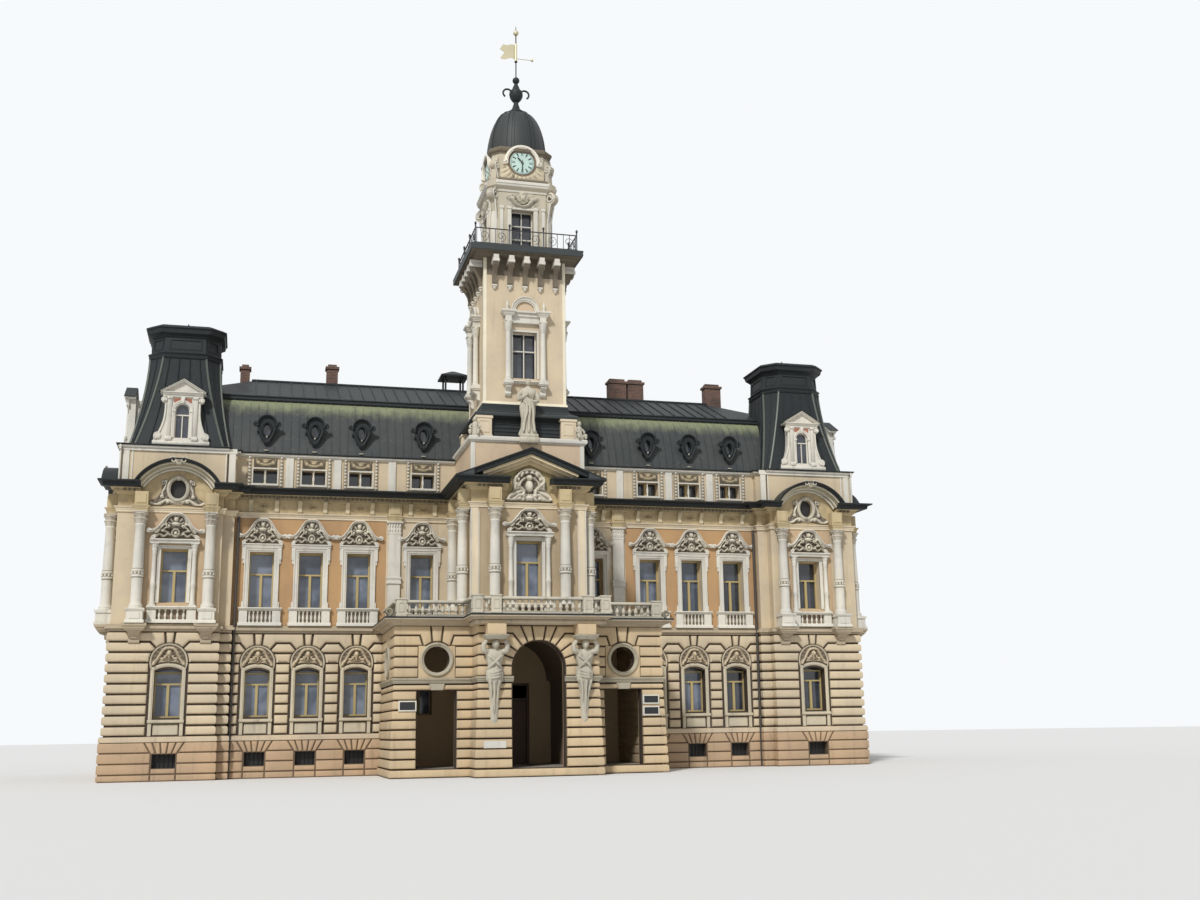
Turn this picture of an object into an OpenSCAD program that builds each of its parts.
// Town hall in an eclectic late nineteenth-century manner.
// X runs along the main front, Y into the building, Z up. The main front faces -Y.
// The origin lies on the ground, on the axis of symmetry, in the plane of the wing walls.

/* [Plan] */
// Distance from the axis to the outer face of a corner pavilion
half_w = 17000; // [16500:100:18000]
// Distance from the axis to the inner face of a corner pavilion
pav_in = 12700; // [12600:50:12900]
// How far a pavilion stands in front of the wings
pav_out = 830; // [600:10:1000]
// Depth of a corner pavilion
pav_d = 4300; // [4200:50:4400]
// Depth of the building between its wing walls
depth = 14400; // [13600:100:16000]
// How far the side walls lie behind the pavilion sides
side_back = 400; // [300:50:500]
// Thickness of the outer walls
wall_t = 550; // [500:10:600]
// Half width of the middle projection
mid_w = 2500; // [2450:10:2600]
// How far the middle projection stands in front of the wings
mid_out = 4500; // [4300:50:4700]

/* [Levels] */
// Top of the stone base
base_z = 1800; // [1700:10:1900]
// Underside of the band over the ground floor
band_z = 6100; // [6000:10:6150]
// Top of that band, which is the floor of the first floor
first_z = 6400; // [6350:10:6450]
// Top of the capitals
order_z = 11150; // [11100:10:11200]
// Underside of the main cornice
cornice_z = 12000; // [11950:10:12050]
// Top of the main cornice
attic_z = 12400; // [12350:10:12450]
// Eaves of the steep roofs
eaves_z = 14100; // [14050:10:14150]
// Top of the steep slopes of the wings
mansard_z = 16800; // [16600:50:17000]
// Flat top of the wing roof
ridge_z = 18700; // [18500:50:18900]
// Floor of the portico over the ground
porch_z = 350; // [300:10:400]

/* [Windows] */
// Distances of the window axes of a wing from the middle
wing_axes = [3990, 6810, 8895, 11000];
// Width of a wing window
win_w = 1040; // [1000:10:1100]
// Sill and head of the ground floor windows
ground_win = [2550, 4550];
// Sill and head of the first floor windows
first_win = [7200, 9650];
// Sill and head of the low windows over the main cornice
attic_win = [12700, 13380];
// Sill and head of the cellar windows
cellar_win = [520, 1080];

/* [Pavilions] */
// Axis of the window of a pavilion
pav_axis = 14600; // [14500:50:14700]
// Distance of a pavilion column from that axis
pav_col = 1430; // [1400:10:1460]
// Radius of a large column
col_r = 215; // [200:5:230]

/* [Portico] */
// Half width of the portico
porch_w = 5640; // [5500:20:5800]
// Front of the side bays of the portico
porch_out = 4900; // [4850:10:5000]
// Front of the middle bay of the portico
porch_mid = 6350; // [6250:10:6450]
// Half width of the middle bay
porch_mid_w = 2450; // [2400:10:2500]
// Half width of the arch
arch_w = 1100; // [1050:10:1150]
// Crown of the arch over the ground
arch_top = 5380; // [5300:10:5400]
// Distance of a round opening from the middle
oculus_x = 3960; // [3900:10:4000]
// Height of the round openings
oculus_z = 4700; // [4650:10:4750]
// Distance of a figure that carries the balcony from the middle
herm_x = 1860; // [1820:10:1900]

/* [Tower] */
// Half width of the tower shaft
shaft_w = 1870; // [1800:10:1900]
// Height of the gallery floor's underside
gallery_z = 22700; // [22500:50:22900]
// Half width of the gallery
gallery_w = 2540; // [2450:10:2600]
// Half width of the clock storey
clock_w = 1450; // [1400:10:1500]
// Height of the clock's centre
clock_z = 27700; // [27650:10:27750]
// Radius of a clock dial
dial_r = 570; // [540:10:600]
// Foot of the dome
dome_z = 28350; // [28300:10:28400]
// Radius of the dome at its foot
dome_r = 1400; // [1350:10:1450]
// Height of the weather vane's arm
vane_z = 33780; // [33700:10:33850]

/* [Hidden] */
$fn = 48;

// Derived places
mid_y = depth / 2;               // middle of the depth of the building
pav_y0 = -pav_out;               // front face of a front pavilion
pav_y1 = pav_y0 + pav_d;         // rear face of a front pavilion
side_x = half_w - side_back;     // outer face of a side wall
tower_y = -1920;                 // axis of the tower
shaft_y = tower_y - shaft_w;     // front face of the shaft
roof_cy = pav_y0 + pav_d / 2;    // middle of a front pavilion in depth
slab_t = 300;                    // thickness of a floor
frame_t = 100;                   // depth of a window frame
glass_t = 20;                    // thickness of a sheet of glass
side_axes = [4900, 7200, 9500];  // window axes of a side wall, along Y
strip_in = pav_in - 480;         // inner edge of the set-back strip beside a pavilion
strip_out = 350;                 // how far that strip stands in front of the wing
eps = 1;                         // how far a cut runs past a face
cut = 50;                        // how far a window cut runs past a wall

// Colours
cream = "#e6d3a3"; stone_white = "#e9e2d0"; base_stone = "#d9b58c"; slate = "#2d3133";
brick = "#8c4a35"; ochre = "#c9a24a"; glass_blue = "#5a6d78"; oak = "#4a3524"; gilt = "#c8b98a";
iron = "#24282b"; mint = "#cfe3d6"; copper = "#6f7a52"; panel_orange = "#c98f52";

// Box between two values on each axis
module block(x, y, z) translate([x[0], y[0], z[0]]) cube([x[1] - x[0], y[1] - y[0], z[1] - z[0]]);
// Both sides of the axis
module both_sides() { children(); mirror([1, 0, 0]) children(); }
// Front and rear of the building
module both_fronts() { children(); at_rear() children(); }
module at_rear() translate([0, depth, 0]) mirror([0, 1, 0]) children();
// Turns a drawing in X and Z into a plate whose front face is at y
module plate(y, t) translate([0, y + t, 0]) rotate([90, 0, 0]) linear_extrude(t) children();
// The same for a face that looks to +X, drawn in Y and Z, with its outer face at x
module side_plate(x, t) translate([x - t, 0, 0]) rotate([90, 0, 90]) linear_extrude(t) children();
// Rectangle given by its middle, width and two heights
module opening(x, w, z) translate([x - w / 2, z[0]]) square([w, z[1] - z[0]]);
// Opening with a flat segmental head
module segment_opening(x, w, z, rise = 120) {
  r = (w * w / 4 + rise * rise) / (2 * rise);
  opening(x, w, [z[0], z[1] - rise]);
  intersection() {
    translate([x, z[1] - r]) circle(r, $fn = 96);
    opening(x, w, [z[1] - rise - eps, z[1] + eps]);
  }
}
// Opening with a round head
module arched_opening(x, w, z) {
  opening(x, w, [z[0], z[1] - w / 2]);
  translate([x, z[1] - w / 2]) circle(w / 2);
}
// One column of windows, from the ground floor to the storey over the cornice
module window_column(x) {
  segment_opening(x, win_w, ground_win);
  opening(x, win_w, first_win);
  opening(x, win_w, attic_win);
}
// Solid through the rings of points given from the bottom up
module loft(rings) {
  n = len(rings[0]);
  m = len(rings);
  polyhedron(
    points = [for (r = rings, p = r) p],
    faces = concat(
      [[for (i = [n - 1:-1:0]) i]],
      [for (k = [0:m - 2], i = [0:n - 1])
        [k * n + (i + 1) % n, (k + 1) * n + (i + 1) % n, (k + 1) * n + i, k * n + i]],
      [[for (i = [0:n - 1]) (m - 1) * n + i]]));
}
// Square with cut corners at height z
function cut_square(cx, cy, z, h, c) = [
  [cx - h + c, cy - h, z], [cx - h, cy - h + c, z], [cx - h, cy + h - c, z], [cx - h + c, cy + h, z],
  [cx + h - c, cy + h, z], [cx + h, cy + h - c, z], [cx + h, cy - h + c, z], [cx + h - c, cy - h, z]];

// Plan of the building, grown by d
module plan(d) {
  translate([-side_x - d, -d]) square([2 * (side_x + d), depth + 2 * d]);
  for (y = [pav_y0, depth + pav_out - pav_d])
    both_sides() translate([pav_in - d, y - d]) square([half_w - pav_in + 2 * d, pav_d + 2 * d]);
  both_sides() translate([strip_in - d, -strip_out - d])
    square([pav_in - strip_in + eps, depth + 2 * strip_out + 2 * d]);
}
// Plan of the rooms
module rooms() {
  translate([-side_x + wall_t, wall_t]) square([2 * (side_x - wall_t), depth - 2 * wall_t]);
  for (y = [pav_y0, depth + pav_out - pav_d])
    both_sides() translate([pav_in + wall_t, y + wall_t])
      square([half_w - pav_in - 2 * wall_t, pav_d - 2 * wall_t]);
}
// Plan of the middle projection, grown by d
module mid_plan(d) translate([-mid_w - d, -mid_out - d]) square([2 * (mid_w + d), mid_out + d]);

// Walls
plinth_out = 120;
module plinth() color(base_stone) difference() {
  linear_extrude(base_z) plan(plinth_out);
  translate([0, 0, -eps]) linear_extrude(base_z + 2 * eps) rooms();
  // the portico and the entrance take the middle of the front
  block([-porch_w, porch_w], [-2 * pav_out, wall_t + cut], [-eps, base_z + eps]);
  both_fronts() both_sides() {
    plate(-cut - plinth_out, wall_t + plinth_out + 2 * cut)
      for (x = wing_axes) if (x > porch_w) opening(x, win_w * 0.8, cellar_win);
    plate(pav_y0 - cut - plinth_out, wall_t + plinth_out + 2 * cut)
      opening(pav_axis, win_w * 0.9, cellar_win);
    side_plate(half_w + plinth_out + cut, wall_t + plinth_out + 2 * cut)
      opening(roof_cy, win_w * 0.9, cellar_win);
  }
  both_sides() side_plate(side_x + plinth_out + cut, wall_t + plinth_out + 2 * cut)
    for (y = side_axes) opening(y, win_w * 0.8, cellar_win);
}

// Wall of the left or right wing, from the middle projection to the pavilion
module wing_wall() color(cream) plate(0, wall_t) difference() {
  polygon([[mid_w, 0], [porch_w, 0], [porch_w, base_z], [strip_in, base_z], [strip_in, eaves_z],
    [mid_w, eaves_z]]);
  for (x = wing_axes) window_column(x);
}
module front_wall_left() mirror([1, 0, 0]) wing_wall();
module front_wall_right() wing_wall();

// Windows of one face of a pavilion, round the axis x
pav_win_w = 1100;
pav_win = [7300, 9600];
oval_z = 12180;          // middle of the oval opening over the cornice
oval_a = 330;
oval_b = 430;
module pavilion_windows(x) {
  segment_opening(x, pav_win_w, ground_win);
  opening(x, pav_win_w, pav_win);
  translate([x, oval_z]) ellipse(oval_a, oval_b);
}
// Oval drawn by its formula
module ellipse(a, b) polygon([for (i = [0:31]) [a * cos(i * 11.25), b * sin(i * 11.25)]]);
// Walls of the front right pavilion: front, outer side and the two short returns
module pavilion_walls() color(cream) {
  difference() {
    union() {
      block([pav_in, half_w], [pav_y0, pav_y0 + wall_t], [base_z, eaves_z]);
      block([half_w - wall_t, half_w], [pav_y0, pav_y1], [base_z, eaves_z]);
      block([pav_in, pav_in + wall_t], [pav_y0, wall_t], [base_z, eaves_z]);
      block([strip_in, pav_in], [-strip_out, wall_t], [base_z, eaves_z]);
      block([side_x - wall_t, half_w], [pav_y1 - wall_t, pav_y1], [base_z, eaves_z]);
    }
    plate(pav_y0 - cut, wall_t + 2 * cut) pavilion_windows(pav_axis);
    side_plate(half_w + cut, wall_t + 2 * cut) pavilion_windows(roof_cy);
  }
}
module pavilion_walls_front_right() pavilion_walls();
module pavilion_walls_front_left() mirror([1, 0, 0]) pavilion_walls();
module pavilion_walls_rear_right() at_rear() pavilion_walls();
module pavilion_walls_rear_left() at_rear() mirror([1, 0, 0]) pavilion_walls();

module side_walls() color(cream) both_sides() side_plate(side_x, wall_t) difference() {
  translate([pav_y1, base_z]) square([depth - 2 * pav_y1, eaves_z - base_z]);
  for (y = side_axes) window_column(y);
}
module rear_wall() color(cream) at_rear() plate(0, wall_t) difference() {
  translate([-strip_in, base_z]) square([2 * strip_in, eaves_z - base_z]);
  for (x = concat([0], wing_axes, -wing_axes)) window_column(x);
}

// Floors
lobby_d = 5000;
module floor_at(z, well = false) color("#b9ad97") difference() {
  translate([0, 0, z - slab_t]) linear_extrude(slab_t) rooms();
  if (well) block([-mid_w, mid_w], [0, lobby_d], [z - 2 * slab_t, z + eps]);
}
module ground_floor() floor_at(base_z, true);
module first_floor() floor_at(first_z);
module second_floor() floor_at(attic_z);
module loft_floor() difference() {
  floor_at(eaves_z);
  block([-base_w - base_lip, base_w + base_lip], [-eps, tower_y + base_w + base_lip], [attic_z, base_top]);
}

// Middle projection
mid_win_w = 1120;
mid_win = [7200, 9750];
module risalit_walls() color(cream) {
  difference() {
    block([-mid_w, mid_w], [-mid_out, wall_t], [first_z, attic_z]);
    block([-mid_w + wall_t, mid_w - wall_t], [-mid_out + wall_t, 0], [first_z - eps, attic_z + eps]);
    plate(-mid_out - cut, wall_t + 2 * cut) opening(0, mid_win_w, mid_win);
    plate(-cut, wall_t + 2 * cut) arched_opening(0, 2200, [first_z - eps, 9800]);
  }
}

// Portico
porch_t = 500;
door_w = 1600;
door_x = 3950;
door_z = 3450;
oculus_r = 530;
passage_w = porch_mid_w - porch_t;
module porch_front() {
  plate(-porch_out, porch_t) both_sides() difference() {
    translate([porch_mid_w, 0]) square([porch_w - porch_mid_w, band_z]);
    opening(door_x, door_w, [porch_z, door_z]);
    translate([oculus_x, oculus_z]) circle(oculus_r);
  }
}
module portico_walls() color(cream) {
  porch_front();
  plate(-porch_mid, porch_t) difference() {
    translate([-porch_mid_w, 0]) square([2 * porch_mid_w, band_z]);
    arched_opening(0, 2 * arch_w, [porch_z, arch_top]);
  }
  both_sides() {
    // wall between the passage and the side bay
    block([passage_w, porch_mid_w], [-porch_mid, 0], [0, band_z]);
    // outer side wall with its round opening
    side_plate(porch_w, porch_t) difference() {
      translate([-porch_out, 0]) square([porch_out, band_z]);
      translate([-porch_out / 2, oculus_z]) circle(oculus_r);
    }
  }
}
vault_z = 4000;
vault_r = 1750;
module portico_vault() color(stone_white) difference() {
  block([-passage_w, passage_w], [-porch_mid + porch_t, 0], [vault_z, band_z]);
  translate([0, eps, vault_z]) rotate([90, 0, 0]) cylinder(h = porch_mid, r = vault_r);
}
module portico_floor() color("#a79d8c") {
  block([-passage_w, passage_w], [-porch_mid + porch_t, 0], [0, porch_z]);
  block([-mid_w, mid_w], [0, lobby_d], [0, porch_z]);
  both_sides() block([porch_mid_w, porch_w - porch_t], [-porch_out + porch_t, 0], [0, porch_z]);
}
balcony_out = 7200;
balcony_w = 2950;
roof_lip = 500;          // how far the portico's cornice stands out
roof_step = 100;         // height of the moulding under it
module portico_roof() color(stone_white) difference() {
  union() {
    block([-porch_w - roof_step, porch_w + roof_step], [-porch_out - roof_step, 0],
      [band_z, band_z + roof_step]);
    block([-porch_w - roof_lip, porch_w + roof_lip], [-porch_out - roof_lip, 0],
      [band_z + roof_step, first_z]);
    block([-balcony_w, balcony_w], [-balcony_out, 0], [band_z - roof_step, first_z]);
  }
  block([-porch_w - roof_step, porch_w + roof_step], [-porch_mid, eps], [0, band_z]);
}

// Figures that carry the balcony
// Height, half width and depth of the body, from the foot of its tapering pillar to the neck
herm_body = [[2000, 80, 100], [2150, 140, 170], [3300, 210, 260], [3700, 260, 330], [3850, 350, 410],
  [4150, 340, 400], [4350, 270, 340], [4700, 360, 410], [4950, 400, 410], [5120, 300, 320],
  [5230, 120, 260]];
// Half oval that stands against the plane y = 0
function half_oval(z, a, b) = concat([[-a, 0, z]],
  [for (i = [1:7]) [-a * cos(i * 22.5), -b * sin(i * 22.5), z]], [[a, 0, z]]);
head_r = 165;
module herm() {
  translate([0, -porch_mid, 0]) {
    block([-340, 340], [-740, 0], [5620, band_z - roof_step]);
    block([-450, 450], [-800, 0], [5400, 5620]);
    loft([for (b = herm_body) reversed(half_oval(b[0], b[1], b[2]))]);
    translate([0, -390, 5240]) sphere(head_r, $fn = 24);
    for (s = [-1, 1]) {
      rod([s * 330, -300, 4960], [s * 500, -430, 5120], 95);
      rod([s * 500, -430, 5120], [s * 330, -560, 5400], 80);
    }
  }
}
function reversed(list) = [for (i = [len(list) - 1:-1:0]) list[i]];
// Round bar from a to b
module rod(a, b, r) {
  d = b - a;
  translate(a) rotate([0, acos(d[2] / norm(d)), atan2(d[1], d[0])]) cylinder(h = norm(d), r = r, $fn = 16);
}
module herm_figures() color(stone_white) both_sides() translate([herm_x, 0, 0]) herm();

// Balustrades
rail_h = 700;
rail_w = 260;            // width of the rails
rail_t = 120;            // height of a rail
pedestal_half = 200;
pedestal_h = rail_h + 40;
baluster_pitch = 260;
module balustrade(length) {
  for (z = [0, rail_h - rail_t]) block([0, length], [0, rail_w], [z, z + rail_t]);
  n = floor(length / baluster_pitch);
  for (i = [0:n - 1]) translate([(i + 0.5) * length / n, rail_w / 2, rail_t]) baluster(rail_h - 2 * rail_t);
}
module baluster(h) rotate_extrude($fn = 16) polygon([[0, 0], [75, 0], [75, 0.08 * h], [45, 0.14 * h],
  [85, 0.34 * h], [80, 0.44 * h], [42, 0.7 * h], [50, 0.86 * h], [75, 0.92 * h], [75, h], [0, h]]);
module pedestal() block([-pedestal_half, pedestal_half], [-pedestal_half, pedestal_half], [0, pedestal_h]);
rail_y = -balcony_out + 120;                 // front of the balcony's rail
side_rail_y = -porch_out - 200;              // front of the rail over a side bay
corner_x = porch_w - 190;                    // pedestal at the portico's corner
mid_ped_x = 1900;                            // pedestal over a carrying figure
out_ped_x = 2650;                            // pedestal at the balcony's corner
module balustrades() color(stone_white) translate([0, 0, first_z]) {
  translate([-mid_ped_x + pedestal_half, rail_y, 0]) balustrade(2 * (mid_ped_x - pedestal_half));
  both_sides() {
    translate([mid_ped_x, rail_y + rail_w / 2, 0]) pedestal();
    translate([out_ped_x, rail_y + rail_w / 2, 0]) pedestal();
    translate([mid_ped_x + pedestal_half, rail_y, 0]) balustrade(out_ped_x - mid_ped_x - 2 * pedestal_half);
    // back from the balcony's corner to the rail over the side bay
    translate([out_ped_x + rail_w / 2, rail_y + rail_w / 2 + pedestal_half, 0]) rotate([0, 0, 90])
      balustrade(side_rail_y - rail_y - rail_w / 2 - pedestal_half + rail_w);
    translate([out_ped_x + rail_w / 2, side_rail_y, 0])
      balustrade(corner_x - pedestal_half - out_ped_x - rail_w / 2);
    translate([corner_x, side_rail_y + rail_w / 2, 0]) pedestal();
    translate([corner_x + rail_w / 2, side_rail_y + rail_w / 2 + pedestal_half, 0]) rotate([0, 0, 90])
      balustrade(-side_rail_y - rail_w / 2 - pedestal_half - pil_foot_out);
  }
}

// Entrance
gate_w = 1900;
gate_z = 3150;
light_z = 3900;
module entrance_piers() color(cream)
  both_sides() block([gate_w / 2, mid_w], [0, wall_t], [porch_z, band_z]);
module entrance_lintel() color(cream) {
  block([-gate_w / 2, gate_w / 2], [0, wall_t], [light_z, band_z]);
  block([-mid_w, mid_w], [0, wall_t], [band_z, first_z]);
}
jamb = 90;
frame_y = 150;           // front of the door frame
module entrance_frame() color(oak) plate(frame_y, leaf_y + leaf_t - knuckle_r - 2 - frame_y) difference() {
  translate([-gate_w / 2, porch_z]) square([gate_w, light_z - porch_z]);
  opening(0, gate_w - 2 * jamb, [porch_z - eps, gate_z]);
  opening(0, gate_w - 2 * jamb, [gate_z + jamb, light_z - jamb]);
}
leaf_gap = 10;
leaf_w = gate_w / 2 - jamb - 1.5 * leaf_gap;
leaf_t = 70;
leaf_y = 260;
stile = 140;             // width of a leaf's upright
knuckle_r = 18;          // radius of a hinge
module door_leaf() {
  h = gate_z - porch_z - 2 * leaf_gap;
  difference() {
    block([0, leaf_w], [0, leaf_t], [0, h]);
    translate([0, leaf_t, -eps]) cylinder(h = h + 2 * eps, r = knuckle_r + 2);
  }
  for (z = [200, 1500]) block([stile, leaf_w - stile], [-20, 0], [z, z + 1000]);
  // knuckles on the hinge line
  for (z = [300, h / 2, h - 400]) translate([0, leaf_t, z]) cylinder(h = 120, r = knuckle_r);
  for (z = [300, h / 2, h - 400]) block([knuckle_r / 2, 120], [leaf_t, leaf_t + 8], [z, z + 120]);
}
module door_leaf_left() color(oak)
  translate([-gate_w / 2 + jamb + leaf_gap, leaf_y, porch_z + leaf_gap]) door_leaf();
module door_leaf_right() color(oak) mirror([1, 0, 0])
  translate([-gate_w / 2 + jamb + leaf_gap, leaf_y, porch_z + leaf_gap]) door_leaf();

// Bands, columns and window dress
module band_course() color(stone_white) difference() {
  for (s = [[band_z, 90, 110], [band_z + 110, 200, 110], [band_z + 220, 130, 80]])
    translate([0, 0, s[0]]) linear_extrude(s[2]) plan(s[1]);
  translate([0, 0, band_z - eps]) linear_extrude(first_z) plan(0);
  block([-porch_w - roof_lip, porch_w + roof_lip], [-2 * pav_out, wall_t], [band_z - eps, first_z + eps]);
  pipes(pipe_r + 5);
}
// Column with base, ring and capital, standing on z = 0
module column(r, h) {
  ring = 0.33 * h;
  rotate_extrude() polygon([[0, 0], [1.35 * r, 0], [1.35 * r, 0.5 * r], [1.1 * r, 0.9 * r], [r, 1.3 * r],
    [r, ring - 0.8 * r], [1.12 * r, ring - 0.8 * r], [1.12 * r, ring + 0.8 * r], [r, ring + 0.8 * r],
    [0.88 * r, h - 2.4 * r], [0.95 * r, h - 2.3 * r], [1.3 * r, h - 0.5 * r], [0, h - 0.5 * r]]);
  translate([-1.4 * r, -1.39 * r, h - 0.5 * r]) cube([2.8 * r, 2.78 * r, 0.5 * r]);
}
pedestal_z = 7000;
column_out = 300;        // how far a column's axis stands in front of its wall
module column_on_pedestal() {
  block([-330, 330], [-330, column_out], [first_z, pedestal_z]);
  translate([0, 0, pedestal_z]) column(col_r, order_z - pedestal_z);
}
module large_columns() color(stone_white) {
  both_fronts() both_sides() for (s = [-1, 1]) {
    translate([pav_axis + s * pav_col, pav_y0 - column_out, 0]) column_on_pedestal();
    translate([half_w + column_out, roof_cy + s * pav_col, 0]) rotate([0, 0, 90]) column_on_pedestal();
  }
  both_sides() {
    translate([1530, -mid_out - column_out, 0]) column_on_pedestal();
    for (y = [-4050, -1300]) translate([mid_w + column_out, y, 0]) rotate([0, 0, 90]) column_on_pedestal();
  }
}
pil_x = 5240;
pil_half = 270;
pil_out = 120;           // how far a pilaster stands out
pil_foot_out = 180;      // how far its foot and head stand out
module wing_pilasters() color(stone_white) both_fronts() both_sides() {
  block([pil_x - pil_half, pil_x + pil_half], [-pil_out, 0], [first_z, order_z]);
  for (z = [[first_z, pedestal_z], [8300, 8600], [order_z - 580, order_z]])
    block([pil_x - pil_half - 60, pil_x + pil_half + 60], [-pil_foot_out, -pil_out], z);
}
// Frame round a window, with sill and hood
module surround(x, w, z, hood) {
  plate(-100, 100) difference() {
    translate([x - w / 2 - 200, z[0] - 200]) square([w + 400, z[1] - z[0] + 400]);
    opening(x, w, z);
  }
  plate(-220, 220) {
    translate([x - w / 2 - 250, z[0] - 280]) square([w + 500, 80]);
    if (hood) translate([x - w / 2 - 250, z[1] + 200]) square([w + 500, 100]);
  }
  if (hood) plate(-150, 150) translate([x, z[1] + 300]) bell(w / 2 + 230, order_z - z[1] - 400);
}
// Bell-shaped head of a window with rolled ends, drawn by its formula
function bell_z(u) = 0.22 + 0.78 * pow(cos(90 * u), 1.5);
module bell(a, h) polygon(concat([[-a, 0]],
  [for (i = [-12:12]) let (u = i / 12) [a * u, h * bell_z(u)]],
  [[a, 0]]));
// The richer frame of a pavilion or of the middle window, with a small column on each side
small_col = 800;         // distance of a small column from the window's axis
module aedicule(x, z) {
  for (s = [-1, 1]) translate([x + s * small_col, -160, pedestal_z + 110])
    column(105, z[1] - pedestal_z + 90);
  plate(-300, 300) translate([x - 1000, pedestal_z]) square([2000, 110]);
  plate(-280, 280) translate([x - 1000, z[1] + 200]) square([2000, 160]);
  plate(-180, 180) translate([x, z[1] + 360]) bell(1000, order_z - z[1] - 460);
}
module oval_ring(x) plate(-120, 120) translate([x, oval_z]) difference() {
  ellipse(480, 580);
  ellipse(oval_a, oval_b);
}
module window_surrounds() color(stone_white) {
  both_fronts() both_sides() {
    for (x = wing_axes) surround(x, win_w, first_win, true);
    for (x = wing_axes) if (x > porch_w) surround(x, win_w, ground_win, false);
    translate([0, pav_y0, 0]) { aedicule(pav_axis, pav_win); oval_ring(pav_axis); }
    translate([half_w, roof_cy, 0]) rotate([0, 0, 90]) { aedicule(0, pav_win); oval_ring(0); }
  }
  translate([0, -mid_out, 0]) aedicule(0, mid_win);
}
// Frame with a cross bar, and a middle bar below it
sash_bar = 70;           // height of a frame's level members
jamb_bar = 55;           // width of its outer upright members, and half the width of the middle one
module sash(x, w, z, bar) difference() {
  opening(x, w, z);
  opening(x, w - 2 * jamb_bar, [bar + sash_bar / 2, z[1] - sash_bar]);
  for (s = [-1, 1]) opening(x + s * w / 4, w / 2 - 2 * jamb_bar, [z[0] + sash_bar, bar - sash_bar / 2]);
}
mid_bar_w = 120;         // the small pillar in the middle of a low window
low_bar = 3930;          // cross bar of a ground floor window
high_bar = 8700;         // cross bar of a first floor window
module window_frames() color(ochre) {
  both_fronts() both_sides() plate(wall_t - frame_t, frame_t) for (x = wing_axes) {
    sash(x, win_w, first_win, high_bar);
    sash(x, win_w, [ground_win[0], ground_win[1] - 120], low_bar);
    opening(x, mid_bar_w, attic_win);
  }
  both_fronts() both_sides() plate(pav_y0 + wall_t - frame_t, frame_t) {
    sash(pav_axis, pav_win_w, pav_win, high_bar);
    sash(pav_axis, pav_win_w, [ground_win[0], ground_win[1] - 120], low_bar);
  }
  plate(-mid_out + wall_t - frame_t, frame_t) sash(0, mid_win_w, mid_win, 8860);
}
// One sheet a storey behind the windows of a wall
pane_lap = 80;           // how far a sheet runs past its windows
module sheet(x0, x1, z) block([x0, x1], [wall_t, wall_t + glass_t], [z[0] - pane_lap, z[1] + pane_lap]);
module side_sheet(x, y0, y1, z)
  block([x - wall_t - glass_t, x - wall_t], [y0, y1], [z[0] - pane_lap, z[1] + pane_lap]);
module window_glass() color(glass_blue) {
  both_fronts() both_sides() {
    for (z = [ground_win, first_win, attic_win])
      sheet(wing_axes[0] - 800, wing_axes[3] + 700, z);
    translate([0, pav_y0, 0]) for (z = [ground_win, pav_win]) sheet(pav_axis - 700, pav_axis + 700, z);
    for (z = [ground_win, pav_win]) side_sheet(half_w, roof_cy - 700, roof_cy + 700, z);
    // oval panes inside the walls
    plate(pav_y0 + wall_t - frame_t, glass_t) translate([pav_axis, oval_z]) ellipse(oval_a, oval_b);
    side_plate(half_w - wall_t + frame_t, glass_t) translate([roof_cy, oval_z]) ellipse(oval_a, oval_b);
  }
  both_sides() for (z = [ground_win, first_win, attic_win])
    side_sheet(side_x, side_axes[0] - 700, side_axes[2] + 700, z);
  at_rear() for (z = [ground_win, first_win, attic_win]) sheet(-700, 700, z);
  translate([0, -mid_out, 0]) sheet(-700, 700, mid_win);
  // tower windows, in the shaft and in the clock storey
  four_sides() {
    translate([0, shaft_y + 450 - wall_t, 0]) sheet(-700, 700, shaft_win);
    translate([0, tower_y - 1000 - wall_t, 0]) sheet(-600, 600, clock_win);
  }
}

// Cornice and pediments
cornice_out = 800;       // how far the main cornice stands out
// Height, thickness and reach of each step of the main cornice
cornice_steps = [[order_z, 110, 80], [order_z + 110, 110, 160], [cornice_z - 60, 60, 120],
  [cornice_z, 80, 300], [cornice_z + 80, 80, 420], [cornice_z + 160, 100, 620],
  [cornice_z + 260, 140, cornice_out]];
module main_cornice() color(stone_white) difference() {
  for (s = cornice_steps) translate([0, 0, s[0]]) linear_extrude(s[1]) { plan(s[2]); mid_plan(s[2]); }
  translate([0, 0, order_z - eps]) linear_extrude(attic_z) { plan(0); mid_plan(0); }
  // it stops at the arched pediments
  both_fronts() both_sides() {
    block([pav_axis - arch_half, pav_axis + arch_half],
      [pav_y0 - cornice_out - eps, pav_y0 + eps], arch_gap);
    block([half_w - eps, half_w + cornice_out + eps], [roof_cy - arch_half, roof_cy + arch_half], arch_gap);
  }
}
arch_gap = [cornice_z - 60 - eps, attic_z + eps];
arch_half = 1500;        // half span of an arched pediment inside its moulding
arch_ring = 250;         // height of its moulding
arch_crown = 13400;      // its crown
arch_r = (pow(arch_half + arch_ring, 2) + pow(arch_crown - attic_z, 2)) / (2 * (arch_crown - attic_z));
module arched_pediment(t) plate(-t, t) difference() {
  intersection() {
    translate([0, arch_crown - arch_r]) circle(arch_r, $fn = 96);
    opening(0, 2 * (arch_half + arch_ring), [attic_z, arch_crown]);
  }
  translate([0, arch_crown - arch_r]) circle(arch_r - arch_ring, $fn = 96);
}
module arched_pediments() color(stone_white) both_fronts() both_sides() {
  translate([pav_axis, pav_y0, 0]) arched_pediment(cornice_out);
  translate([half_w, roof_cy, 0]) rotate([0, 0, 90]) arched_pediment(cornice_out);
}
gable_half = 3250;
gable_top = 13700;
gable_rise = 160;        // height of the sloping cornice, measured upright
gable_out = 800;         // how far the gable stands in front of the middle projection
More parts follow.
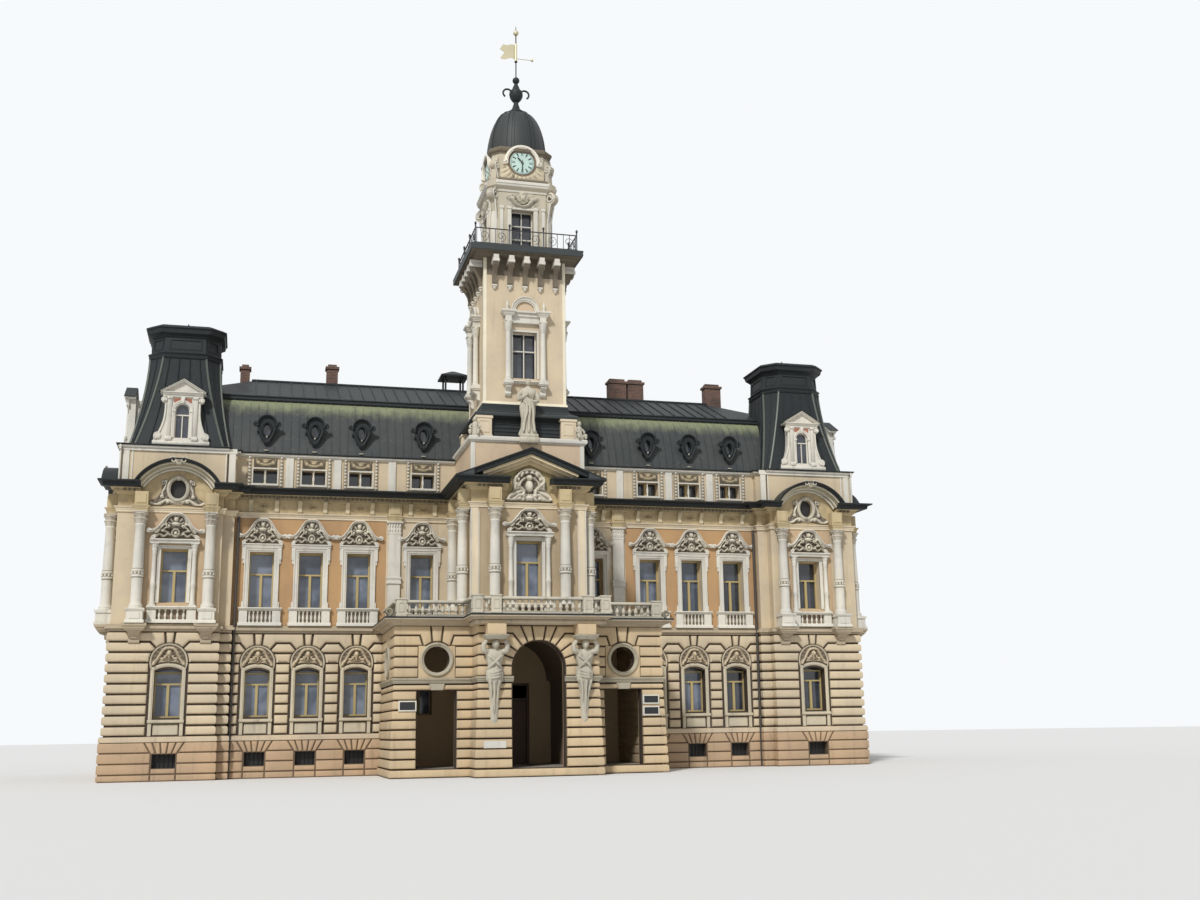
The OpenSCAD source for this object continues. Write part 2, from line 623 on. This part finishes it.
module risalit_pediment() color(slate) difference() {
  union() {
    plate(-mid_out - gable_out, gable_out + base_front + mid_out)
      polygon([[-gable_half, attic_z], [gable_half, attic_z], [0, gable_top]]);
    // the slope runs back along both sides of the tower's base
    both_sides() plate(base_front, -base_front - gable_out)
      polygon([[base_w, attic_z], [gable_half, attic_z],
        [base_w, attic_z + (gable_top - attic_z) * (1 - base_w / gable_half)]]);
  }
  plate(-mid_out - gable_out - eps, 450) polygon([[-gable_half + 900, attic_z + gable_rise],
    [gable_half - 900, attic_z + gable_rise], [0, gable_top - 2.2 * gable_rise]]);
}

// Roofs
roof_t = 150;
eave_out = 100;
slope_run = 1250;
deck_in = 3750;
// How far the steep slope has leaned in at the share u of its height
function lean(u) = slope_run * (0.55 * u + 0.45 * u * u * u);
// Rectangle round the building, drawn in by d, at height z
function roof_ring(d, z) = cut_rect(side_x - d, mid_y - d, z);
function cut_rect(a, b, z) = [[-a, mid_y - b, z], [-a, mid_y + b, z], [a, mid_y + b, z], [a, mid_y - b, z]];
// The steep slopes as one hipped solid, drawn in by t
module slopes(t) loft([for (i = [0:8]) let (u = i / 8)
  roof_ring(lean(u) - eave_out + t, eaves_z + (mansard_z - eaves_z) * u)]);
module mansard_roof() color(slate) difference() {
  slopes(0);
  translate([0, 0, -eps]) slopes(roof_t);
  translate([0, 0, eps]) slopes(roof_t);
  both_fronts() both_sides() pavilion_roof(0);
  both_fronts() both_sides() for (x = wing_axes) translate([x, 0, 0]) plate(-200, 1400) dormer_body();
  tower_hole();
}
// Room that the tower and its base take out of the roofs
module tower_hole() {
  w = base_w + base_lip;
  block([-w, w], [tower_y - w, tower_y + w], [attic_z, base_top]);
  block([-skirt_w - skirt_lip, skirt_w + skirt_lip],
    [tower_y - skirt_w - skirt_lip, tower_y + skirt_w + skirt_lip], [base_top - eps, skirt_top]);
  block([-shaft_w, shaft_w], [tower_y - shaft_w, tower_y + shaft_w], [base_top - eps, gallery_z]);
}
// The shallow slopes over them, with a flat middle
module shallow(t, drop) loft([
  roof_ring(lean(1) - eave_out + t, mansard_z - drop),
  roof_ring(lean(1) - eave_out + t, mansard_z + 150 - drop),
  roof_ring(lean(1) - eave_out + deck_in, ridge_z - drop)]);
module upper_roof() color(slate) difference() {
  shallow(0, 0);
  shallow(roof_t, roof_t);
  both_fronts() both_sides() pavilion_roof(0);
  chimney_stacks(0);
}
pav_top = 18300;
// Half width of a pavilion roof between its foot, u = 0, and its top, u = 1
function pav_half(u) = 1500 + 570 * pow(1 - u, 1.7);
function pav_cut(u) = 250 + 350 * u;
module pavilion_roof(shrink) loft([for (i = [0:8]) let (u = i / 8)
  cut_square(pav_axis + 50, roof_cy, eaves_z + (pav_top - eaves_z) * u, pav_half(u) - shrink, pav_cut(u))]);
module pavilion_roofs() color(slate) both_fronts() both_sides() difference() {
  pavilion_roof(0);
  translate([0, 0, -roof_t]) pavilion_roof(roof_t);
  translate([pav_axis, pav_y0 + dormer_set, 0]) dormer_room();
  translate([half_w - dormer_set, roof_cy, 0]) rotate([0, 0, 90]) dormer_room();
}
// Height over the roof, half width and cut of each ring of a roof cap
cap_rings = [[0, 1500], [120, 1530], [180, 1470], [950, 1440], [1050, 1640], [1300, 1690], [1400, 1600]];
module pavilion_roof_caps() color(slate) both_fronts() both_sides()
  loft([for (s = cap_rings) cut_square(pav_axis + 50, roof_cy, pav_top + s[0], s[1], 600)]);

// Dormers
dormer_set = 50;         // how far a stone dormer stands behind its wall's face
dormer_half = 750;
dormer_neck = 16400;     // foot of its gable
// Front of a stone dormer: body, rolled sides, and gable
module dormer_front() {
  translate([-dormer_half, eaves_z]) square([2 * dormer_half, dormer_neck - eaves_z]);
  polygon(concat([[-1150, eaves_z]], [for (i = [0:8]) let (u = i / 8)
    [-dormer_half - 400 * pow(1 - u, 2.2), eaves_z + 250 + 1400 * u]], [[-dormer_half, eaves_z]]));
  polygon(concat([[1150, eaves_z]], [for (i = [0:8]) let (u = i / 8)
    [dormer_half + 400 * pow(1 - u, 2.2), eaves_z + 250 + 1400 * u]], [[dormer_half, eaves_z]]));
  polygon([[-950, dormer_neck], [950, dormer_neck], [950, dormer_neck + 90], [0, 17080],
    [-950, dormer_neck + 90]]);
}
module stone_dormer() {
  plate(0, 300) difference() {
    dormer_front();
    arched_opening(0, 620, [14450, 16000]);
  }
  difference() {
    block([-600, 600], [300, 1000], [eaves_z, dormer_neck]);
    block([-400, 400], [299, 1001], [eaves_z - eps, dormer_neck - 200]);
  }
}
// Room that it takes out of its roof
module dormer_room() {
  plate(0, 300) dormer_front();
  block([-600, 600], [299, 1000], [eaves_z - eps, dormer_neck]);
}
module stone_dormers() color(stone_white) both_fronts() both_sides() {
  translate([pav_axis, pav_y0 + dormer_set, 0]) stone_dormer();
  translate([half_w - dormer_set, roof_cy, 0]) rotate([0, 0, 90]) stone_dormer();
}
dormer_z = 15150;        // middle of the opening of a round dormer
dormer_head = 340;       // radius of its round head
dormer_head_z = dormer_z + 230;
dormer_foot_z = dormer_z - 600;
// Outline of its body: round head, and sides that taper to the foot
module dormer_body() {
  translate([0, dormer_head_z]) circle(dormer_head);
  polygon([[-335, dormer_head_z], [-230, dormer_z - 350], [-110, dormer_foot_z], [110, dormer_foot_z],
    [230, dormer_z - 350], [335, dormer_head_z]]);
}
// Outline of its front, which runs past the body, with rolled sides and a rolled foot
module dormer_face() {
  translate([0, dormer_head_z]) circle(dormer_head + 70);
  polygon([[-400, dormer_head_z], [-290, dormer_z - 370], [-90, dormer_foot_z], [90, dormer_foot_z],
    [290, dormer_z - 370], [400, dormer_head_z]]);
  translate([0, dormer_foot_z]) circle(120);
  for (s = [-1, 1]) {
    translate([s * 490, dormer_head_z - 10]) circle(85);
    polygon([[s * 300, dormer_head_z - 180], [s * 490, dormer_head_z - 70], [s * 490, dormer_head_z + 50],
      [s * 300, dormer_head_z + 50]]);
  }
}
module dormer_opening() translate([0, dormer_z]) ellipse(150, 290);
module round_dormer() {
  plate(-50, 900) difference() {
    dormer_body();
    dormer_opening();
  }
  plate(-110, 60) difference() {
    dormer_face();
    dormer_opening();
  }
}
module round_dormers() color(slate) both_fronts() both_sides()
  for (x = wing_axes) translate([x, 0, 0]) round_dormer();

// Chimneys and canopy
chimney_y = 5600;
chimney_half = 250;      // half depth of a stack
// Middle, width and top of each chimney
chimney_list = [[-12100, 450, 19400], [-7900, 550, 19650], [6950, 950, 19750], [7950, 850, 19750],
  [12300, 900, 19750]];
module chimney_stacks(d) for (c = chimney_list) translate([c[0], chimney_y, 0])
  block([-c[1] / 2 - d, c[1] / 2 + d], [-chimney_half, chimney_half], [eaves_z, c[2]]);
module chimneys() color(brick) {
  chimney_stacks(0);
  for (c = chimney_list) translate([c[0], chimney_y, 0]) {
    block([-c[1] / 2 - 60, c[1] / 2 + 60], [-chimney_half - 60, chimney_half + 60], [c[2], c[2] + 120]);
    block([-c[1] / 2 + 60, c[1] / 2 - 60], [-chimney_half + 80, chimney_half - 80],
      [c[2] + 120, c[2] + 260]);
  }
}
module roof_canopy() color(slate) translate([-1700, 6200, ridge_z]) {
  for (x = [-1, 1], y = [-1, 1]) translate([x * 450, y * 450, 0]) cylinder(h = 1000, r = 50, $fn = 16);
  translate([0, 0, 1000]) rotate([0, 0, 45]) cylinder(h = 80, r = 1000, $fn = 4);
  translate([0, 0, 1080]) rotate([0, 0, 45]) cylinder(h = 320, r1 = 960, r2 = 120, $fn = 4);
}

// Tower
module tower_block(h, t, z0, z1) difference() {
  block([-h, h], [tower_y - h, tower_y + h], [z0, z1]);
  block([-h + t, h - t], [tower_y - h + t, tower_y + h - t], [z0 - eps, z1 + eps]);
}
base_w = 2500;
base_lip = 120;
base_top = 14250;
base_front = tower_y - base_w;
tower_t = 450;           // thickness of the tower's walls
module tower_base() color(cream) {
  tower_block(base_w, tower_t, attic_z, eaves_z);
  tower_block(base_w + base_lip, tower_t + base_lip, eaves_z, base_top);
}
skirt_w = 2000;
skirt_lip = 250;
skirt_top = 15900;
// Height and half width of each ring of the metal skirt round the tower's foot
skirt_rings = [[base_top, skirt_w], [15300, skirt_w], [15350, skirt_w + skirt_lip],
  [15430, skirt_w + skirt_lip], [15560, shaft_w + 160], [15720, shaft_w + 80], [skirt_top, shaft_w + 60]];
module skirt_roof() color(slate) difference() {
  loft([for (r = skirt_rings) cut_square(0, tower_y, r[0], r[1], 1)]);
  block([-shaft_w, shaft_w], [tower_y - shaft_w, tower_y + shaft_w], [base_top - eps, skirt_top + eps]);
}
// Ring of twelve points round (x, y) at height z
function oval(x, y, z, a, b) = [for (i = [0:11]) [x + a * cos(i * 30), y - b * sin(i * 30), z]];
// Shares of its height: height, half width, half depth and step forward of a standing robed figure
robe = [[0, 0.150, 0.115, 0], [0.05, 0.140, 0.105, 0], [0.25, 0.115, 0.090, 0], [0.42, 0.130, 0.098, 0.01],
  [0.52, 0.125, 0.092, 0], [0.62, 0.100, 0.075, 0], [0.73, 0.125, 0.080, 0], [0.79, 0.140, 0.070, 0],
  [0.825, 0.100, 0.055, 0], [0.845, 0.042, 0.042, 0], [0.87, 0.040, 0.040, 0]];
module robed_figure(h) {
  loft([for (r = robe) oval(0, -r[3] * h, r[0] * h, r[1] * h, r[2] * h)]);
  translate([0, -0.01 * h, 0.925 * h]) sphere(0.063 * h, $fn = 24);
  rod([0.125 * h, 0, 0.77 * h], [0.165 * h, -0.03 * h, 0.60 * h], 0.034 * h);
  rod([0.165 * h, -0.03 * h, 0.60 * h], [0.02 * h, -0.11 * h, 0.58 * h], 0.028 * h);
  rod([-0.125 * h, 0, 0.77 * h], [-0.160 * h, -0.04 * h, 0.61 * h], 0.034 * h);
  rod([-0.160 * h, -0.04 * h, 0.61 * h], [-0.02 * h, -0.10 * h, 0.72 * h], 0.028 * h);
}
statue_y = tower_y - 2360;
statue_step = 140;       // how far the figure stands in front of that line, clear of the skirt's eave
statue_z = 14400;        // its feet
statue_h = 2550;
module statue() color(stone_white) translate([0, statue_y, 0]) {
  block([-420, 420], [-480, base_front - base_lip - statue_y], [14000, base_top]);
  block([-360, 360], [-440, 60], [base_top, statue_z]);
  translate([0, -statue_step, statue_z]) robed_figure(statue_h);
}
pier_in = 1550;          // inner face of a corner pier of the tower's foot
pier_out = 2250;         // its outer face, from the tower's axis
child_h = 850;           // height of a seated child
module corner_figures() color(stone_white) both_sides() {
  for (s = [-1, 1]) translate([0, tower_y, 0]) difference() {
    block([pier_in, pier_out], s > 0 ? [pier_in, pier_out] : [-pier_out, -pier_in], [base_top, 15300]);
    block([0, skirt_w], [-skirt_w, skirt_w], [base_top - eps, skirt_top]);
  }
  translate([pier_out + 50, tower_y - pier_out - 120, base_top]) {
    loft([for (r = [[0, 0.26, 0.20], [0.15, 0.25, 0.20], [0.35, 0.17, 0.16], [0.55, 0.16, 0.13],
      [0.68, 0.17, 0.12], [0.75, 0.07, 0.07], [0.80, 0.06, 0.06]])
      oval(0, 0, r[0] * child_h, r[1] * child_h, r[2] * child_h)]);
    translate([0, 0, 0.88 * child_h]) sphere(0.13 * child_h, $fn = 24);
  }
}
shaft_win = [17130, 19290];
front_half = shaft_w - tower_t; // half width of its front wall
// Repeats a piece on the four sides of the tower
module four_sides() for (a = [0:90:270]) translate([0, tower_y, 0]) rotate([0, 0, a])
  translate([0, -tower_y, 0]) children();
module tower_shaft() color(cream) difference() {
  tower_block(shaft_w, tower_t, base_top, gallery_z);
  four_sides() plate(shaft_y - cut, tower_t + 2 * cut) opening(0, 1100, shaft_win);
  block([-front_half, front_half], [shaft_y - cut, shaft_y + tower_t + cut],
    [base_top - cut, gallery_z + cut]);
}
// front wall of the shaft, between its side walls
module shaft_front() color(cream) plate(shaft_y, tower_t) difference() {
  translate([-front_half, base_top]) square([2 * front_half, gallery_z - base_top]);
  opening(0, 1100, shaft_win);
}
aedicule_half = 1120;
shelf_z = 19900;         // underside of its entablature
module shaft_aedicules() color(stone_white) four_sides() {
  for (s = [-1, 1]) {
    translate([s * 790, shaft_y - 170, 17000]) column(120, shelf_z - 17000);
    // bracket with a rolled foot under each column
    translate([s * 790 - 110, shaft_y, 0]) rotate([90, 0, 90]) linear_extrude(220)
      polygon([[0, 16300], [-120, 16300], [-190, 16420], [-200, 16600], [-320, 16850], [0, 16850]]);
  }
  plate(shaft_y - 340, 340) {
    translate([-aedicule_half, shelf_z + 200]) square([2 * aedicule_half, 180]);
    translate([-aedicule_half + 60, shelf_z]) square([2 * aedicule_half - 120, 200]);
    translate([-1050, 16850]) square([2100, 150]);
  }
  plate(shaft_y - 200, 200) difference() {
    translate([0, shelf_z + 380]) circle(640);
    translate([0, shelf_z + 380]) circle(430);
    translate([-700, shelf_z - 400]) square([1400, 780]);
  }
  // brackets under the gallery
  for (i = [-2:2]) translate([i * 700 - 110, shaft_y, 0]) rotate([90, 0, 90]) linear_extrude(220)
    polygon([[0, 21250], [-130, 21250], [-190, 21400], [-180, 21650], [-300, 22000], [-520, 22350],
      [-600, 22500], [-600, gallery_z], [0, gallery_z]]);
}
slab_top = gallery_z + 400;
module gallery_slab() color(slate) {
  tower_block(gallery_w - 250, gallery_w - 250 - 900, gallery_z, gallery_z + 150);
  tower_block(gallery_w, gallery_w - 900, gallery_z + 150, slab_top);
}
post_h = 800;
module gallery_railing() color(iron) four_sides() {
  railing_y = tower_y - gallery_w + 200;
  for (i = [-8:8]) translate([i * 285, railing_y, slab_top]) cylinder(h = post_h, r = 15, $fn = 8);
  for (z = [slab_top + 100, slab_top + post_h])
    block([-2320, 2320], [railing_y - 20, railing_y + 20], [z, z + 40]);
}
clock_inner = 1000;      // half width of the room in the clock storey
clock_win = [slab_top + 200, 25300];
upper_w = clock_w - 100; // half width behind the dials
// Scroll that leans against a cut corner, drawn outwards and up
module corner_scroll() rotate([90, 0, 0]) translate([0, 0, -150]) linear_extrude(300) difference() {
  union() {
    translate([300, 26000]) circle(300);
    polygon([[-120, 25760], [330, 25760], [200, 25200], [165, 24600], [100, 24300], [-120, 24300]]);
    polygon([[-120, 26250], [300, 26250], [260, 26900], [200, 27600], [100, 27900], [-120, 27900]]);
    translate([190, 27500]) circle(190);
  }
  translate([300, 26000]) circle(110);
}
module clock_storey() color(stone_white) difference() {
  union() {
    loft([for (s = [[slab_top, clock_w], [26200, clock_w], [26400, clock_w + 180], [26700, clock_w + 180],
        [26850, upper_w], [dome_z, upper_w]]) cut_square(0, tower_y, s[0], s[1], 350)]);
    for (a = [45:90:315]) translate([0, tower_y, 0]) rotate([0, 0, a])
      translate([upper_w * sqrt(2) - 250, 0, 0]) corner_scroll();
  }
  block([-clock_inner, clock_inner], [tower_y - clock_inner, tower_y + clock_inner],
    [slab_top - eps, dome_z + eps]);
  four_sides() plate(tower_y - clock_w - cut, 900) opening(0, 1020, clock_win);
}
hood_y = tower_y - clock_w - 50;
dial_y = hood_y + 100;   // face of a dial
face_y = tower_y - upper_w;
hood_r = 830;
module clock_hoods() color(stone_white) difference() {
  four_sides() plate(hood_y, face_y - hood_y) difference() {
    translate([0, clock_z]) circle(hood_r);
    translate([0, clock_z]) circle(dial_r + 10);
  }
  translate([0, tower_y, dome_z]) cylinder(h = 500, r = dome_r + 5);
}
module clock_dials() color(mint) four_sides() {
  plate(dial_y, face_y - dial_y) translate([0, clock_z]) circle(dial_r);
  translate([0, dial_y, clock_z]) rotate([90, 0, 0]) cylinder(h = 75, r = pin_r);
}
pin_r = 14;
// Hand with its hub bored for the pin, from the face y forward, turned clockwise by a
module hand(y, hub, width, length, a) translate([0, y, clock_z]) rotate([90, 0, 0]) difference() {
  rotate([0, 0, -a]) union() {
    cylinder(h = 10, r = hub);
    linear_extrude(10) polygon([[-width / 2, 0], [-width, 0.7 * length], [0, length], [width, 0.7 * length],
      [width / 2, 0], [width / 2, -0.25 * length], [-width / 2, -0.25 * length]]);
  }
  translate([0, 0, -eps]) cylinder(h = 10 + 2 * eps, r = pin_r + 1);
}
module hour_hand() color(iron) hand(hood_y + 60, 55, 34, 350, 315);
module minute_hand() color(iron) hand(hood_y + 40, 45, 24, 500, 180);
dome_h = 2500;
dome_t = 100;
rib_w = 100;
rib_out = 35;            // how far a rib stands on the dome
crown_r = 340;           // radius of the dome at its crown
// Half outline of the dome, grown outwards by d
function dome_line(d) = [for (i = [0:10]) let (u = i / 10)
  [crown_r + d + (dome_r - crown_r) * sqrt(1 - u * u), dome_z + dome_h * u]];
module dome() color(slate) translate([0, tower_y, 0]) {
  rotate_extrude() polygon(concat(dome_line(0), reversed(dome_line(-dome_t))));
  // ribs that stand on the shell
  for (a = [22.5:45:360]) rotate([0, 0, a]) rotate([90, 0, 0]) translate([0, 0, -rib_w / 2])
    linear_extrude(rib_w) polygon(concat(dome_line(rib_out), reversed(dome_line(-dome_t / 2))));
}
finial_z = dome_z + dome_h + eps;
rod_r = 28;
ball_z = 32600;          // middle of the ball over the urn
top_ball_z = 35140;      // middle of the ball at the top
tip_z = 35500;
// Radius and height over the dome of each point of the urn
urn_line = [[0, 0], [crown_r, 0], [330, 90], [200, 250], [120, 500], [110, 600], [250, 800], [330, 1000],
  [310, 1150], [200, 1270], [150, 1400], [90, 1550], [60, 1600], [0, 1600]];
handle_r = 210;          // radius of the bow of a handle
// Half of a scrolled handle of the urn, as an arc of a ring
module urn_handle() rotate([90, 0, 0]) rotate_extrude(angle = 250, $fn = 24)
  translate([handle_r, 0]) circle(45, $fn = 12);
module finial() color(iron) translate([0, tower_y, 0]) {
  translate([0, 0, finial_z]) rotate_extrude() polygon(urn_line);
  for (s = [0, 180]) rotate([0, 0, s]) translate([2 * handle_r, 0, finial_z + 1050]) rotate([0, 60, 0])
    urn_handle();
  translate([0, 0, ball_z]) sphere(170);
  translate([0, 0, ball_z]) cylinder(h = top_ball_z - ball_z, r = rod_r);
  translate([0, 0, top_ball_z]) sphere(130);
  translate([0, 0, top_ball_z]) cylinder(h = tip_z - top_ball_z, r1 = 36, r2 = 8);
  translate([0, 0, vane_z - 200]) cylinder(h = 60, r = 70);
}
module weather_vane() color(gilt) translate([0, tower_y, vane_z]) {
  difference() {
    translate([0, 0, -130]) cylinder(h = 900, r = rod_r + 30);
    translate([0, 0, -131]) cylinder(h = 902, r = rod_r + 6);
  }
  translate([rod_r + 20, 0, 0]) rotate([0, 90, 0]) cylinder(h = 780, r = 15);
  translate([800, 0, 0]) sphere(70);
  plate(-10, 20) polygon(concat([[-rod_r - 20, 0]], [for (i = [0:8]) let (u = i / 8)
    [-rod_r - 20 - 730 * u, -50 + 60 * sin(360 * u)]], [[-560, 260], [-800, 420], [-620, 700]],
    [for (i = [8:-1:0]) let (u = i / 8) [-rod_r - 20 - 560 * u, 700 + 40 * sin(360 * u)]]));
}
pipe_r = 60;
module pipes(r) both_fronts() both_sides()
  translate([strip_in - plinth_out - pipe_r, -plinth_out - pipe_r, 0])
    cylinder(h = order_z, r = r, $fn = 24);
module downpipes() color("#6e6a60") pipes(pipe_r);

plinth();
front_wall_left();
front_wall_right();
pavilion_walls_front_left();
pavilion_walls_front_right();
pavilion_walls_rear_left();
pavilion_walls_rear_right();
side_walls();
rear_wall();
ground_floor();
first_floor();
second_floor();
loft_floor();
risalit_walls();
portico_walls();
portico_vault();
portico_floor();
portico_roof();
herm_figures();
balustrades();
entrance_piers();
entrance_lintel();
entrance_frame();
door_leaf_left();
door_leaf_right();
band_course();
large_columns();
wing_pilasters();
window_surrounds();
window_frames();
window_glass();
main_cornice();
arched_pediments();
risalit_pediment();
mansard_roof();
upper_roof();
pavilion_roofs();
pavilion_roof_caps();
stone_dormers();
round_dormers();
chimneys();
roof_canopy();
tower_base();
skirt_roof();
statue();
corner_figures();
tower_shaft();
shaft_front();
shaft_aedicules();
gallery_slab();
gallery_railing();
clock_storey();
clock_hoods();
clock_dials();
hour_hand();
minute_hand();
dome();
finial();
weather_vane();
downpipes();
